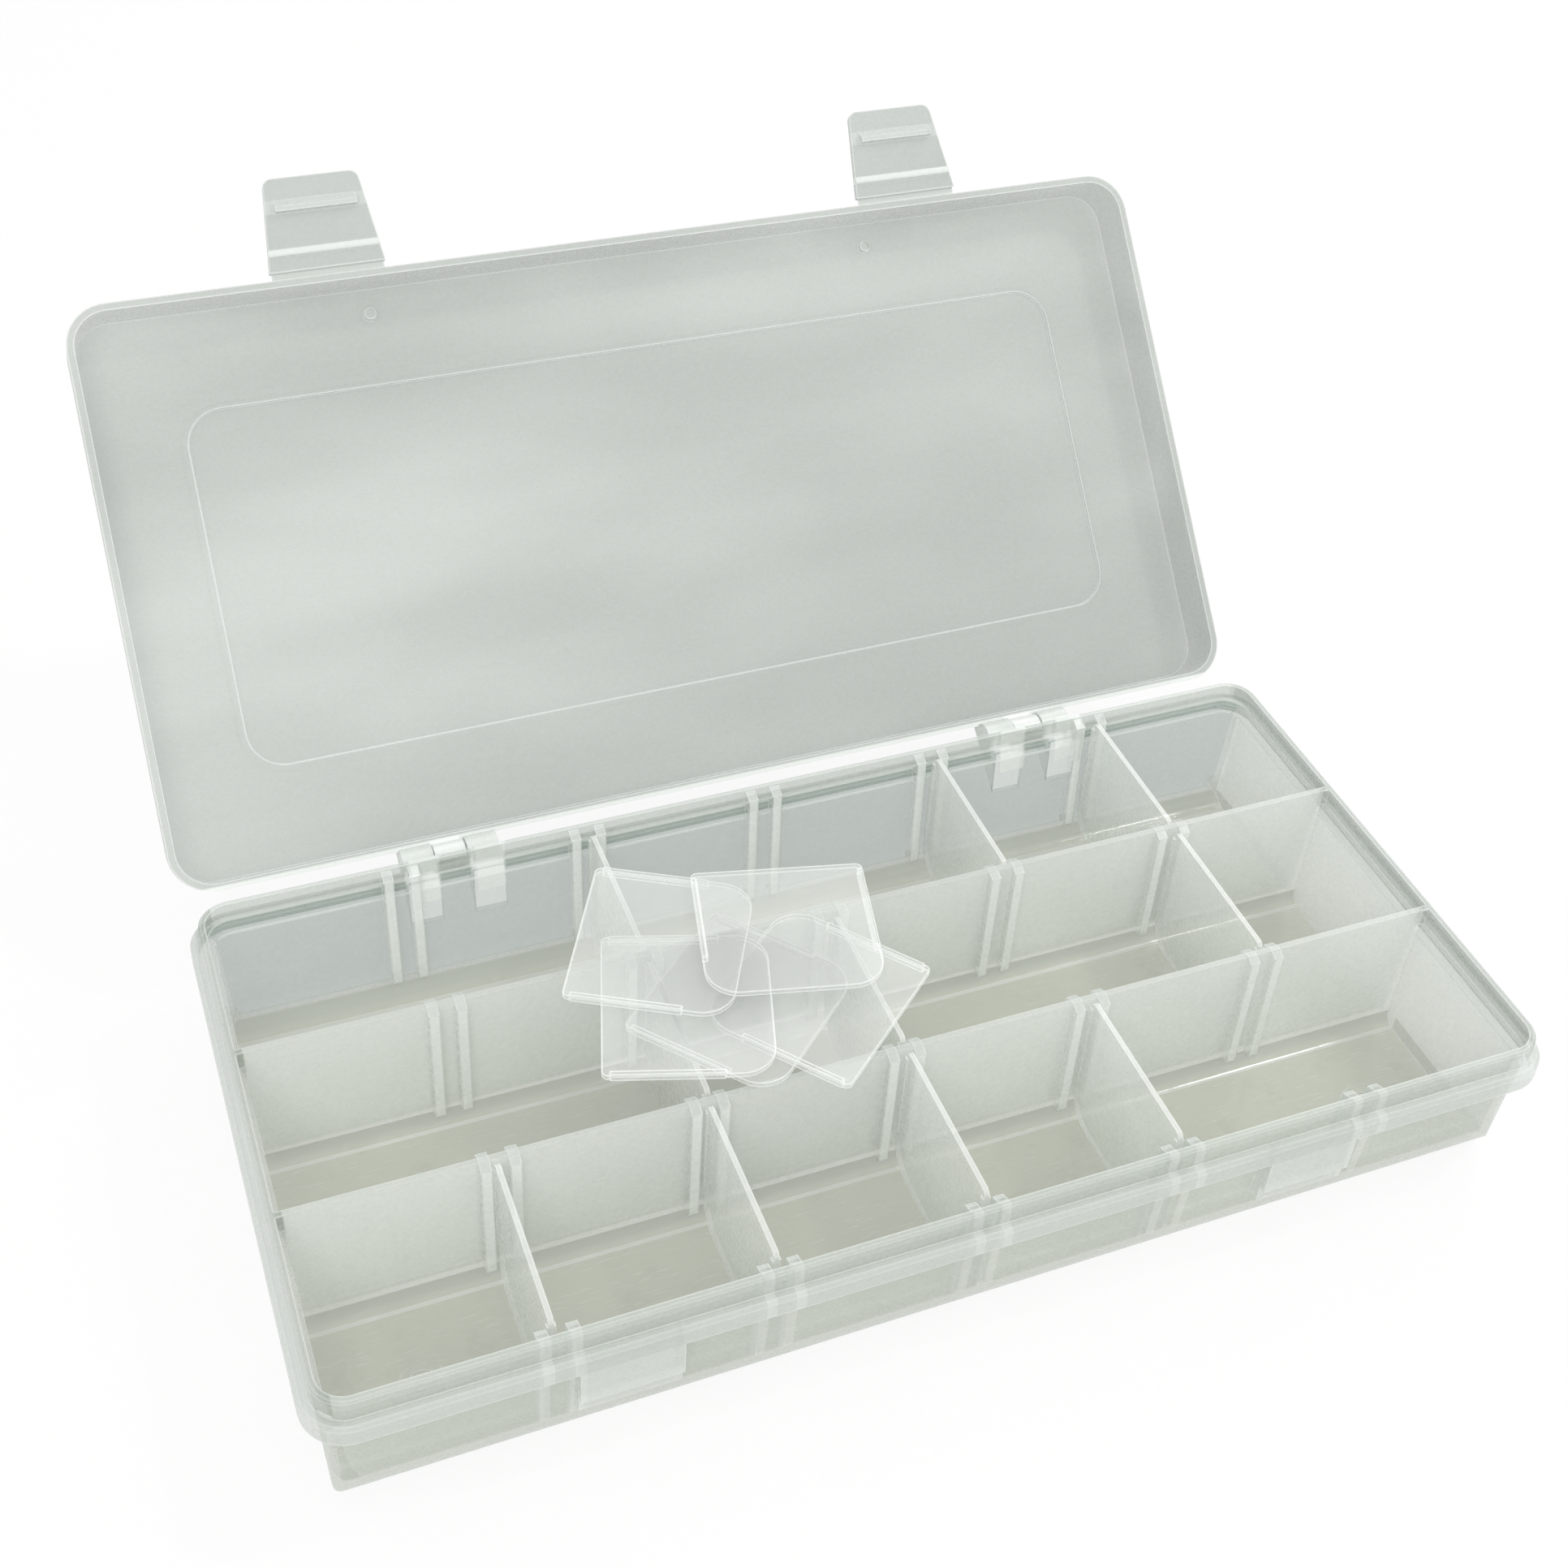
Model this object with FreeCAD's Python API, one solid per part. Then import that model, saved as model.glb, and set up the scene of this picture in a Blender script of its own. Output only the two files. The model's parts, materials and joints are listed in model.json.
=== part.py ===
import FreeCAD, Part
import math
import os

V = FreeCAD.Vector
ORIGIN = V(0, 0, 0)
X_AXIS = V(1, 0, 0)
Y_AXIS = V(0, 1, 0)
Z_AXIS = V(0, 0, 1)

# Driving sizes, millimetres and degrees

# Outline shared by the lid and the tray
LENGTH = 230.0
WIDTH = 115.4
CORNER = 8.5

# Tray
SHOULDER = 28.0
FLOOR = 1.5
WALL = 1.5
LIP = 1.3
LIP_RISE = 4.3
LEAD_IN = 0.4
SHELF = 1.4
SKIRT = 1.3
SKIRT_INSET = 0.5
SKIRT_DROP = 3.9
SKIRT_EDGE = 0.7
BAND_ABOVE = 0.5
BAND_BELOW = 2.2
BAND_STEP = 1.1
DRAFT = 0.9
DRAFT_LONG = 1.4
TROUGH_R = 3.2
WALL_R = 6.5
BOTTOM_R = 8.5
END_R = 2.5
PARTITION = 1.2
PARTITION_DRAFT = 0.1
ROWS = 3
CELLS = 6

# Ribs that hold the dividers
RIB_WIDTH = 2.0
RIB_GAP = 3.1
RIB_PROUD = 1.5
RIB_SHORT = 0.4
RIB_TIP = 0.9
RIB_FOOT = 0.6

# Moulding rings on the floor
RING_OUT = 4.2
RING_IN = 2.4
RING_RISE = 0.25

# Lid
LID_WALL = 1.5
LID_FIT = 0.9
LID_GAP = 0.1
LID_EDGE_R = 2.0
PLATEAU_LENGTH = 194.0
PLATEAU_WIDTH = 75.5
PLATEAU_R = 9.0
PLATEAU_RISE = 0.7
NUB_R = 1.2
NUB_RISE = 1.5
NUB_X = 55.0
NUB_FROM_EDGE = 6.9

# Hinges
HINGE_X = 63.0
HINGE_BACK = 2.9
HINGE_BELOW = 2.4
OPEN_ANGLE = 132.5
PIN_R = 1.5
PIN_PLAY = 0.05
EAR_WIDTH = 6.2
EAR_GAP = 6.7
EAR_R = 3.3
EAR_FOOT = 15.0
CLIP_R = 2.9
CLIP_SIDE = 0.3
CLIP_SLOT = 2.2
CLIP_ARM = 4.5
STOP_REACH = 1.2
STOP_GAP = 0.15

# Latches and their keepers
LATCH_X = 63.0
LATCH_ROOT = 23.3
LATCH_TIP = 18.8
LATCH_LENGTH = 19.6
LATCH_THICK = 1.2
LATCH_TIP_R = 2.0
LATCH_STAND_OFF = 0.75
FOLD_R = 0.9
WEB_THICK = 0.45
WEB_PLAY = 0.05
HOOK_WIDTH = 16.3
HOOK_RISE = 1.6
HOOK_RAMP = 3.0
HOOK_PLAY = 0.12
BEAD_AT = 4.6
BEAD_LONG = 1.4
BEAD_RISE = 0.4
KEEPER_WIDTH = 17.5
KEEPER_STEP = 11.7
KEEPER_DROP = 15.5
KEEPER_PLATE = 1.3
KEEPER_WEB = 1.3
KEEPER_LAP = 1.7

# Dividers
PLATE = 1.0
FLANGE = 1.6
FLANGE_DEEP = 0.9
FLANGE_LONG = 20.0
FLANGE_DOWN = 1.5
DIVIDER_PLAY = 0.27
DIVIDER_LIFT = 0.3
RIB_CLEAR = 0.15
DIVIDER_R = 6.2
DIVIDER_TOP_R = 1.2
STACK_GAP = 0.08
STACK_HEADROOM = 0.3

# Dividers in place: each name gives the row and the slot, counted from the left
ROW_NAMES = ("front", "middle", "back")
FITTED = (
    "divider_back_2",
    "divider_back_4",
    "divider_back_5",
    "divider_middle_2",
    "divider_middle_3",
    "divider_middle_5",
    "divider_front_1",
    "divider_front_2",
    "divider_front_3",
    "divider_front_4",
)

# Dividers stand towards +x in their slots, apart from these
TOWARDS_LEFT = ("divider_front_1",)
IN_THE_MIDDLE = ("divider_front_2",)

# Spare dividers lying flat, lowest first: centre in cells and rows, heading of the top edge
SPARE = {
    "divider_spare_1": (-0.642, 0.017, 131.0),
    "divider_spare_2": (-0.299, -0.089, -50.0),
    "divider_spare_3": (-0.933, 0.014, 163.0),
    "divider_spare_4": (-0.929, 0.427, 152.0),
    "divider_spare_5": (-0.323, 0.278, 77.0),
}

# Sizes that follow from the driving ones
LIP_TOP = SHOULDER + LIP_RISE
LIP_OUT = LID_WALL + LID_FIT
LIP_IN = LIP_OUT + LIP
BAND_TOP = SHOULDER + BAND_ABOVE
BAND_BOTTOM = SHOULDER - BAND_BELOW
BAND_IN = LIP_IN + BAND_STEP
FLOOR_IN = BAND_IN + DRAFT
SKIRT_BOTTOM = SHOULDER - SKIRT_DROP
SKIRT_FACE = WIDTH / 2 - SKIRT_INSET
PITCH_X = (LENGTH - 2 * LIP_IN) / CELLS
PITCH_Y = (WIDTH - 2 * LIP_IN) / ROWS
RIM = SHOULDER + LID_GAP
STACK_STEP = PLATE / 2 + FLANGE / 2 + STACK_GAP
STACK = STACK_GAP + FLANGE + STACK_STEP * (len(SPARE) - 1)
LID_DEPTH = LIP_TOP + STACK + STACK_HEADROOM - PLATEAU_RISE - RIM
LID_TOP = RIM + LID_DEPTH + LID_WALL
AXIS_Y = WIDTH / 2 + HINGE_BACK
AXIS_Z = SHOULDER - HINGE_BELOW
LATCH_Y = -WIDTH / 2 - LATCH_STAND_OFF
LATCH_Z = RIM + LATCH_THICK / 2


def rounded_wire(hx, hy, r, z):
    """Rectangle with round corners, half sizes hx and hy, at height z."""
    corners = [
        (hx - r, -hy + r, -90),
        (hx - r, hy - r, 0),
        (-hx + r, hy - r, 90),
        (-hx + r, -hy + r, 180),
    ]
    edges = []
    last = V(-hx + r, -hy, z)
    for cx, cy, start in corners:
        turns = [math.radians(start + step) for step in (0, 45, 90)]
        p = [V(cx + r * math.cos(t), cy + r * math.sin(t), z) for t in turns]
        edges.append(Part.makeLine(last, p[0]))
        edges.append(Part.Arc(p[0], p[1], p[2]).toShape())
        last = p[2]
    return Part.Wire(edges)


def outline(inset, z, more=0.0):
    """The shared outline moved inwards, its long sides by a little more."""
    return rounded_wire(LENGTH / 2 - inset, WIDTH / 2 - inset - more, max(CORNER - inset, 1.0), z)


def slab(inset, z0, z1):
    """Upright block inside the shared outline."""
    return Part.Face(outline(inset, z0)).extrude(V(0, 0, z1 - z0))


def taper(inset0, z0, inset1, z1, more0=0.0, more1=0.0):
    """Block whose outline changes evenly from one inset to another."""
    return Part.makeLoft([outline(inset0, z0, more0), outline(inset1, z1, more1)], True, True)


def box(x0, x1, y0, y1, z0, z1):
    """Block between two corners."""
    return Part.makeBox(x1 - x0, y1 - y0, z1 - z0, V(x0, y0, z0))


def side_prism(points, x0, x1):
    """Outline of (y, z) points pulled along x."""
    loop = [V(x0, y, z) for y, z in points]
    loop.append(loop[0])
    return Part.Face(Part.makePolygon(loop)).extrude(V(x1 - x0, 0, 0))


def x_cylinder(r, x0, x1, y, z):
    """Round bar along x."""
    return Part.makeCylinder(r, x1 - x0, V(x0, y, z), X_AXIS)


def side_path(steps, x0, x1):
    """Outline along x from straight steps and three-point arcs in (y, z)."""
    edges = []
    here = steps[0]
    for step in steps[1:]:
        if len(step) == 2:
            edges.append(Part.makeLine(V(x0, here[0], here[1]), V(x0, step[0], step[1])))
            here = step
        else:
            mid, end = step[:2], step[2:]
            arc = Part.Arc(V(x0, here[0], here[1]), V(x0, mid[0], mid[1]), V(x0, end[0], end[1]))
            edges.append(arc.toShape())
            here = end
    return Part.Face(Part.Wire(edges)).extrude(V(x1 - x0, 0, 0))


def quarter(cy, cz, r, start, end):
    """Arc step from one heading to another about (cy, cz)."""
    half = math.radians((start + end) / 2)
    last = math.radians(end)
    return (
        cy + r * math.cos(half),
        cz + r * math.sin(half),
        cy + r * math.cos(last),
        cz + r * math.sin(last),
    )


def wall_inset(z):
    """Inset of the tray wall's inner face at height z."""
    return BAND_IN + DRAFT * (BAND_BOTTOM - z) / (BAND_BOTTOM - FLOOR)


def long_more(z):
    """Further inset of the front and back walls at height z."""
    return (DRAFT_LONG - DRAFT) * (BAND_BOTTOM - z) / (BAND_BOTTOM - FLOOR)


def wall_face(z):
    """Half width between the long walls' inner faces at height z."""
    return WIDTH / 2 - wall_inset(z) - long_more(z)


def end_face(z):
    """Half length between the end walls' inner faces at height z."""
    return LENGTH / 2 - wall_inset(z)


def partition_half(z):
    """Half thickness of a partition at height z."""
    return PARTITION / 2 + PARTITION_DRAFT * (LIP_TOP - z) / (LIP_TOP - FLOOR)


def partition_places():
    """Centre lines of the long partitions."""
    return [(row - (ROWS - 2) / 2) * PITCH_Y for row in range(ROWS - 1)]


def slot_places():
    """Divider slots along x, counted from the left."""
    return [(slot - CELLS / 2) * PITCH_X for slot in range(1, CELLS)]


def cradle(face, draft, r):
    """Room above z = 0 with round edges below two leaning outer faces."""
    lean = math.atan(draft / (BAND_BOTTOM - FLOOR))
    turn = math.degrees(lean)
    z = r * (1 - math.sin(lean))
    y = face(z) + WALL
    c = y - r * math.cos(lean)
    out = LENGTH
    return side_path(
        [
            (-out, z),
            (-y, z),
            quarter(-c, r, r, 180 + turn, 270),
            (c, 0),
            quarter(c, r, r, -90, -turn),
            (out, z),
            (out, LIP_TOP),
            (-out, LIP_TOP),
            (-out, z),
        ],
        -LENGTH,
        LENGTH,
    )


def tray_outside():
    """Tray before it is hollowed: body, lip and hanging skirt."""
    top = SHOULDER - SHELF / 2
    body = taper(wall_inset(0) - WALL, 0, wall_inset(top) - WALL, top, long_more(0), long_more(top))
    ends = cradle(end_face, DRAFT, END_R)
    ends.rotate(ORIGIN, Z_AXIS, 90)
    body = body.common(cradle(wall_face, DRAFT_LONG, BOTTOM_R)).common(ends)
    lip = slab(LIP_OUT, SHOULDER - SHELF, LIP_TOP - LEAD_IN)
    crown = taper(LIP_OUT, LIP_TOP - LEAD_IN, LIP_OUT + LEAD_IN, LIP_TOP)
    skirt = slab(SKIRT_INSET, SKIRT_BOTTOM, SHOULDER - SKIRT_EDGE)
    edge = taper(SKIRT_INSET, SHOULDER - SKIRT_EDGE, SKIRT_INSET + SKIRT_EDGE, SHOULDER)
    under = slab(SKIRT_INSET + SKIRT, SKIRT_BOTTOM - 1, SHOULDER - SHELF)
    skirt = skirt.fuse(edge).cut(under)
    return body.fuse([lip, crown, skirt])


def tray_hollow():
    """Room inside the tray, one rounded trough for each row."""
    low = taper(FLOOR_IN, FLOOR, BAND_IN, BAND_BOTTOM, long_more(FLOOR))
    band = taper(BAND_IN, BAND_BOTTOM, LIP_IN, BAND_TOP)
    high = slab(LIP_IN, BAND_TOP, LIP_TOP + 1)
    room = low.fuse([band, high])
    places = partition_places()
    troughs = []
    for row in range(ROWS):
        troughs.append(trough(
            places[row - 1] if row > 0 else None,
            places[row] if row < ROWS - 1 else None,
        ))
    return room.common(troughs[0].fuse(troughs[1:]))


def trough_side(place, side):
    """Arc centre, radius and lean of one side of a trough, and its outline upwards."""
    if place is None:
        r = WALL_R
        lean = math.atan(DRAFT_LONG / (BAND_BOTTOM - FLOOR))
        z = FLOOR + r * (1 - math.sin(lean))
        face = side * wall_face(z)
        centre = face - side * r * math.cos(lean)
        turn = (side * WIDTH, z)
        top = side * WIDTH
    else:
        r = TROUGH_R
        lean = 0.0
        z = FLOOR + r
        face = place - side * partition_half(z)
        centre = face - side * r
        top = place - side * partition_half(LIP_TOP)
        turn = (top, LIP_TOP)
    return centre, r, math.degrees(lean), [(face, z), turn, (top, LIP_TOP + 1)]


def trough(left, right):
    """Rounded channel along x between two partitions, or a wall where None."""
    a, ra, lean_a, rise_a = trough_side(left, -1)
    b, rb, lean_b, rise_b = trough_side(right, 1)
    return side_path(
        [
            rise_a[0],
            quarter(a, FLOOR + ra, ra, 180 + lean_a, 270),
            (b, FLOOR),
            quarter(b, FLOOR + rb, rb, -90, -lean_b),
            rise_b[1],
            rise_b[2],
            rise_a[2],
            rise_a[1],
            rise_a[0],
        ],
        -LENGTH,
        LENGTH,
    )


def wall_rib(side):
    """Outline of a rib on the front (-1) or back (1) wall."""
    z0 = FLOOR + TROUGH_R
    z1 = LIP_TOP - RIB_SHORT
    lip = WIDTH / 2 - LIP_IN
    points = [
        (wall_face(z0) - RIB_PROUD, z0),
        (wall_face(z0) + WALL / 3, z0),
        (wall_face(BAND_BOTTOM) + WALL / 3, BAND_BOTTOM),
        (lip + LIP / 3, BAND_TOP),
        (lip + LIP / 3, z1),
        (lip, z1),
        (wall_face(z1) - RIB_PROUD, z1 - RIB_TIP),
    ]
    return [(side * y, z) for y, z in points]


def partition_rib(place):
    """Outline of a rib that stands out from both faces of a partition."""
    z0 = FLOOR + TROUGH_R - RIB_FOOT
    z1 = LIP_TOP
    points = [
        (-partition_half(z0) - RIB_PROUD, z0),
        (partition_half(z0) + RIB_PROUD, z0),
        (partition_half(z1) + RIB_PROUD, z1 - RIB_TIP),
        (partition_half(z1) / 2, z1),
        (-partition_half(z1) / 2, z1),
        (-partition_half(z1) - RIB_PROUD, z1 - RIB_TIP),
    ]
    return [(place + y, z) for y, z in points]


def ribs():
    """Rib pairs on both long walls and both faces of each partition."""
    outlines = [wall_rib(-1), wall_rib(1)]
    outlines += [partition_rib(place) for place in partition_places()]
    made = []
    for x in slot_places():
        for side in (-1, 1):
            middle = x + side * (RIB_GAP + RIB_WIDTH) / 2
            for points in outlines:
                made.append(side_prism(points, middle - RIB_WIDTH / 2, middle + RIB_WIDTH / 2))
    return made


def rings():
    """Low moulding rings on the floor of the outer front cells."""
    made = []
    for side in (-1, 1):
        place = V(side * (CELLS - 1) / 2 * PITCH_X, -PITCH_Y, FLOOR / 2)
        outer = Part.makeCylinder(RING_OUT, FLOOR / 2 + RING_RISE, place)
        inner = Part.makeCylinder(RING_IN, FLOOR + RING_RISE, place)
        made.append(outer.cut(inner))
    return made


def keeper(x):
    """Catch below the front skirt: joggled plate with two side webs."""
    front = -SKIRT_FACE
    back = -wall_face(BAND_BOTTOM) - WALL / 2
    step = SHOULDER - KEEPER_STEP
    bottom = SHOULDER - KEEPER_DROP
    top = SHOULDER - SHELF / 2
    x0 = x - KEEPER_WIDTH / 2
    x1 = x + KEEPER_WIDTH / 2
    plate = box(x0, x1, front, front + KEEPER_PLATE, step, SHOULDER - SKIRT_EDGE)
    low = front + KEEPER_PLATE
    pieces = [box(x0, x1, low, low + KEEPER_PLATE, bottom, step + KEEPER_LAP)]
    deep = -wall_face(bottom) - WALL / 2
    web = [(front + KEEPER_PLATE / 2, top), (back, top), (deep, bottom), (low + KEEPER_PLATE / 2, bottom)]
    web.append((low + KEEPER_PLATE / 2, step))
    web.append((front + KEEPER_PLATE / 2, step))
    pieces.append(side_prism(web, x0, x0 + KEEPER_WEB))
    pieces.append(side_prism(web, x1 - KEEPER_WEB, x1))
    return plate.fuse(pieces)


def opened(y, z):
    """Where a point of the closed lid lies when the lid is open."""
    turn = math.radians(-OPEN_ANGLE)
    dy = y - AXIS_Y
    dz = z - AXIS_Z
    return (
        AXIS_Y + dy * math.cos(turn) - dz * math.sin(turn),
        AXIS_Z + dy * math.sin(turn) + dz * math.cos(turn),
    )


def hinge_seat(x):
    """Two ears with a pin between them, and the heel that stops the lid."""
    heel = opened(WIDTH / 2 + STOP_GAP, RIM + STOP_REACH)
    ear_top = AXIS_Z + EAR_R * 0.55
    wall_y = wall_face(EAR_FOOT) + WALL / 2
    high_y = wall_face(BAND_BOTTOM) + WALL / 2
    points = [
        (SKIRT_FACE - SKIRT, ear_top),
        (AXIS_Y, ear_top),
        heel,
        (wall_y, EAR_FOOT),
        (high_y, BAND_BOTTOM),
    ]
    pieces = []
    for side in (-1, 1):
        middle = x + side * (EAR_GAP + EAR_WIDTH) / 2
        x0 = middle - EAR_WIDTH / 2
        x1 = middle + EAR_WIDTH / 2
        pieces.append(side_prism(points, x0, x1))
        pieces.append(x_cylinder(EAR_R, x0, x1, AXIS_Y, AXIS_Z))
    half = EAR_GAP / 2 + EAR_WIDTH / 2
    pin = x_cylinder(PIN_R, x - half, x + half, AXIS_Y, AXIS_Z)
    return pin.fuse(pieces)


def tray():
    """Compartment tray with ribs, keepers and hinge ears in one moulding."""
    shape = tray_outside().cut(tray_hollow())
    extras = ribs() + rings()
    for side in (-1, 1):
        extras.append(keeper(side * LATCH_X))
        extras.append(hinge_seat(side * HINGE_X))
    return shape.fuse(extras).removeSplitter()


def edges_at(shape, z):
    """Edges of a shape that lie wholly at height z."""
    found = []
    for edge in shape.Edges:
        limits = edge.BoundBox
        if abs(limits.ZMin - z) < 1e-6 and abs(limits.ZMax - z) < 1e-6:
            found.append(edge)
    return found


def clip(x):
    """Snap-on knuckle behind the lid that turns on a tray pin."""
    half = EAR_GAP / 2 - CLIP_SIDE
    x0 = x - half
    x1 = x + half
    wall = WIDTH / 2 - LID_WALL / 2
    arm = [
        (wall, RIM),
        (wall, RIM + CLIP_ARM),
        (WIDTH / 2 + LID_WALL / 3, RIM + CLIP_ARM),
        (AXIS_Y + CLIP_R * 0.7, AXIS_Z + CLIP_R * 0.7),
        (AXIS_Y, AXIS_Z),
        (AXIS_Y - CLIP_R * 0.8, AXIS_Z + CLIP_R * 0.6),
    ]
    shape = side_prism(arm, x0, x1).fuse(x_cylinder(CLIP_R, x0, x1, AXIS_Y, AXIS_Z))
    shape = shape.cut(x_cylinder(PIN_R + PIN_PLAY, x0 - 1, x1 + 1, AXIS_Y, AXIS_Z))
    slot = box(x0 - 1, x1 + 1, AXIS_Y, AXIS_Y + 2 * CLIP_R, AXIS_Z - CLIP_SLOT / 2, AXIS_Z + CLIP_SLOT / 2)
    slot.rotate(V(0, AXIS_Y, AXIS_Z), X_AXIS, -60)
    return shape.cut(slot)


def lid():
    """Shallow lid, drawn closed."""
    shape = slab(0, RIM, LID_TOP)
    shape = shape.makeFillet(LID_EDGE_R, edges_at(shape, LID_TOP))
    hx = PLATEAU_LENGTH / 2
    hy = PLATEAU_WIDTH / 2
    raised = Part.Face(rounded_wire(hx, hy, PLATEAU_R, LID_TOP - LID_WALL / 2))
    raised = raised.extrude(V(0, 0, LID_WALL / 2 + PLATEAU_RISE))
    inner = LID_TOP - LID_WALL
    hollow = slab(LID_WALL, RIM - 1, inner)
    inset = LID_WALL
    pocket = Part.Face(rounded_wire(hx - inset, hy - inset, PLATEAU_R - inset, RIM))
    pocket = pocket.extrude(V(0, 0, inner + PLATEAU_RISE - RIM))
    shape = shape.fuse(raised).cut(hollow.fuse(pocket))
    extras = [clip(side * HINGE_X) for side in (-1, 1)]
    for side in (-1, 1):
        base = V(side * NUB_X, -WIDTH / 2 + NUB_FROM_EDGE, inner - NUB_RISE)
        extras.append(Part.makeCylinder(NUB_R, NUB_RISE + LID_WALL / 2, base))
    return shape.fuse(extras).removeSplitter()


def latch_half(reach):
    """Half width of a latch at a distance from its fold line."""
    share = reach / LATCH_LENGTH
    return LATCH_ROOT / 2 + (LATCH_TIP - LATCH_ROOT) / 2 * share


def latch(x):
    """Latch plate with hook and bead, lid closed and latch unfolded."""
    low = LATCH_Z - LATCH_THICK / 2
    root = LATCH_Y
    tip = LATCH_Y - LATCH_LENGTH
    a = LATCH_ROOT / 2
    b = LATCH_TIP / 2
    loop = [V(x - a, root, low), V(x + a, root, low), V(x + b, tip, low), V(x - b, tip, low)]
    loop.append(loop[0])
    shape = Part.Face(Part.makePolygon(loop)).extrude(V(0, 0, LATCH_THICK))
    corners = []
    for edge in shape.Edges:
        limits = edge.BoundBox
        if limits.ZLength > LATCH_THICK / 2 and limits.YMin < tip + 1e-3:
            corners.append(edge)
    shape = shape.makeFillet(LATCH_TIP_R, corners)
    shape = shape.cut(x_cylinder(FOLD_R, x - LATCH_ROOT, x + LATCH_ROOT, LATCH_Y, LATCH_Z))
    catch = LATCH_Y - (LATCH_Z - SHOULDER + KEEPER_STEP + HOOK_PLAY)
    hook = [
        (catch, low + LATCH_THICK / 3),
        (catch, low - HOOK_RISE),
        (catch - HOOK_RAMP / 3, low - HOOK_RISE),
        (catch - HOOK_RAMP, low + LATCH_THICK / 3),
    ]
    hook = side_prism(hook, x - HOOK_WIDTH / 2, x + HOOK_WIDTH / 2)
    near = LATCH_Y - BEAD_AT + BEAD_LONG / 2
    far = near - BEAD_LONG
    bead = [
        (near, low + LATCH_THICK / 3),
        (near, low - BEAD_RISE / 2),
        (near - BEAD_LONG / 4, low - BEAD_RISE),
        (far + BEAD_LONG / 4, low - BEAD_RISE),
        (far, low - BEAD_RISE / 2),
        (far, low + LATCH_THICK / 3),
    ]
    wide = latch_half(BEAD_AT + BEAD_LONG / 2)
    bead = side_prism(bead, x - wide, x + wide)
    return shape.fuse([hook, bead]).removeSplitter()


def web(x):
    """Thin living hinge between the lid's front edge and a latch."""
    wide = LATCH_ROOT / 2 - WEB_THICK
    y0 = LATCH_Y - math.sqrt(FOLD_R ** 2 - WEB_THICK ** 2 / 4) + WEB_PLAY
    z0 = LATCH_Z - WEB_THICK / 2
    return box(x - wide, x + wide, y0, -WIDTH / 2, z0, z0 + WEB_THICK)


def open_up(shape):
    """Swing a piece of the lid from closed to fully open."""
    turned = shape.copy()
    turned.rotate(V(0, AXIS_Y, AXIS_Z), X_AXIS, -OPEN_ANGLE)
    return turned


def divider_width():
    """Widest plate that clears the narrowest row at the start of its round corners."""
    z = FLOOR + DIVIDER_LIFT + DIVIDER_R
    outer = wall_face(z) - PITCH_Y / 2 - partition_half(z)
    inner = PITCH_Y - 2 * partition_half(z)
    return min(outer, inner) - 2 * DIVIDER_PLAY


def divider():
    """One divider plate standing on z = 0 with a flange down each side."""
    h = LIP_TOP - FLOOR - DIVIDER_LIFT
    w = divider_width() / 2
    r = DIVIDER_R
    t = DIVIDER_TOP_R
    plate = side_path(
        [
            (-w, r),
            quarter(-w + r, r, r, 180, 270),
            (w - r, 0),
            quarter(w - r, r, r, -90, 0),
            (w, h - t),
            quarter(w - t, h - t, t, 0, 90),
            (-w + t, h),
            quarter(-w + t, h - t, t, 90, 180),
            (-w, r),
        ],
        -PLATE / 2,
        PLATE / 2,
    )
    top = h - FLANGE_DOWN
    flanges = []
    for side in (-1, 1):
        y0 = min(side * w, side * (w - FLANGE_DEEP))
        flanges.append(box(-FLANGE / 2, FLANGE / 2, y0, y0 + FLANGE_DEEP, top - FLANGE_LONG, top))
    return plate.fuse(flanges).removeSplitter()


def row_centre(row):
    """Middle of a row at the height where dividers are tightest."""
    if row == 0:
        return 0.0
    z = FLOOR + DIVIDER_LIFT + DIVIDER_R
    return row * (wall_face(z) + PITCH_Y / 2 + partition_half(z)) / 2


def slot_side(name):
    """Side of its slot that a divider stands towards: -1, 0 or 1."""
    if name in TOWARDS_LEFT:
        return -1
    if name in IN_THE_MIDDLE:
        return 0
    return 1


def fitted_divider(plate, name):
    """A divider standing in the slot of its name, close to the rib on one side."""
    row_name, slot = name.split("_")[1:]
    row = ROW_NAMES.index(row_name) - 1
    shape = plate.copy()
    x = slot_places()[int(slot) - 1] + slot_side(name) * ((RIB_GAP - FLANGE) / 2 - RIB_CLEAR)
    shape.translate(V(x, row_centre(row), FLOOR + DIVIDER_LIFT))
    return shape


def spare_divider(plate, level, x, y, heading):
    """A spare divider lying flat on the partitions, level counted from 0."""
    shape = plate.copy()
    shape.translate(V(0, 0, -(LIP_TOP - FLOOR - DIVIDER_LIFT) / 2))
    shape.rotate(ORIGIN, Y_AXIS, -90)
    shape.rotate(ORIGIN, Z_AXIS, heading + 180)
    z = LIP_TOP + STACK_GAP + FLANGE / 2 + level * STACK_STEP
    shape.translate(V(x * PITCH_X, y * PITCH_Y, z))
    return shape


def nodes():
    """Every piece by name, in the shared frame with the lid open."""
    made = {"tray": tray(), "lid": open_up(lid())}
    for name, side in (("left", -1), ("right", 1)):
        made["latch_" + name] = open_up(latch(side * LATCH_X))
        made["web_" + name] = open_up(web(side * LATCH_X))
    plate = divider()
    for name in FITTED:
        made[name] = fitted_divider(plate, name)
    for level, (name, (x, y, heading)) in enumerate(SPARE.items()):
        made[name] = spare_divider(plate, level, x, y, heading)
    return made


def main():
    os.makedirs("parts", exist_ok=True)
    for name, shape in nodes().items():
        shape.exportStep("parts/" + name + ".step")


main()
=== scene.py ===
import json
import math

import bpy
from mathutils import Matrix, Vector


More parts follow.
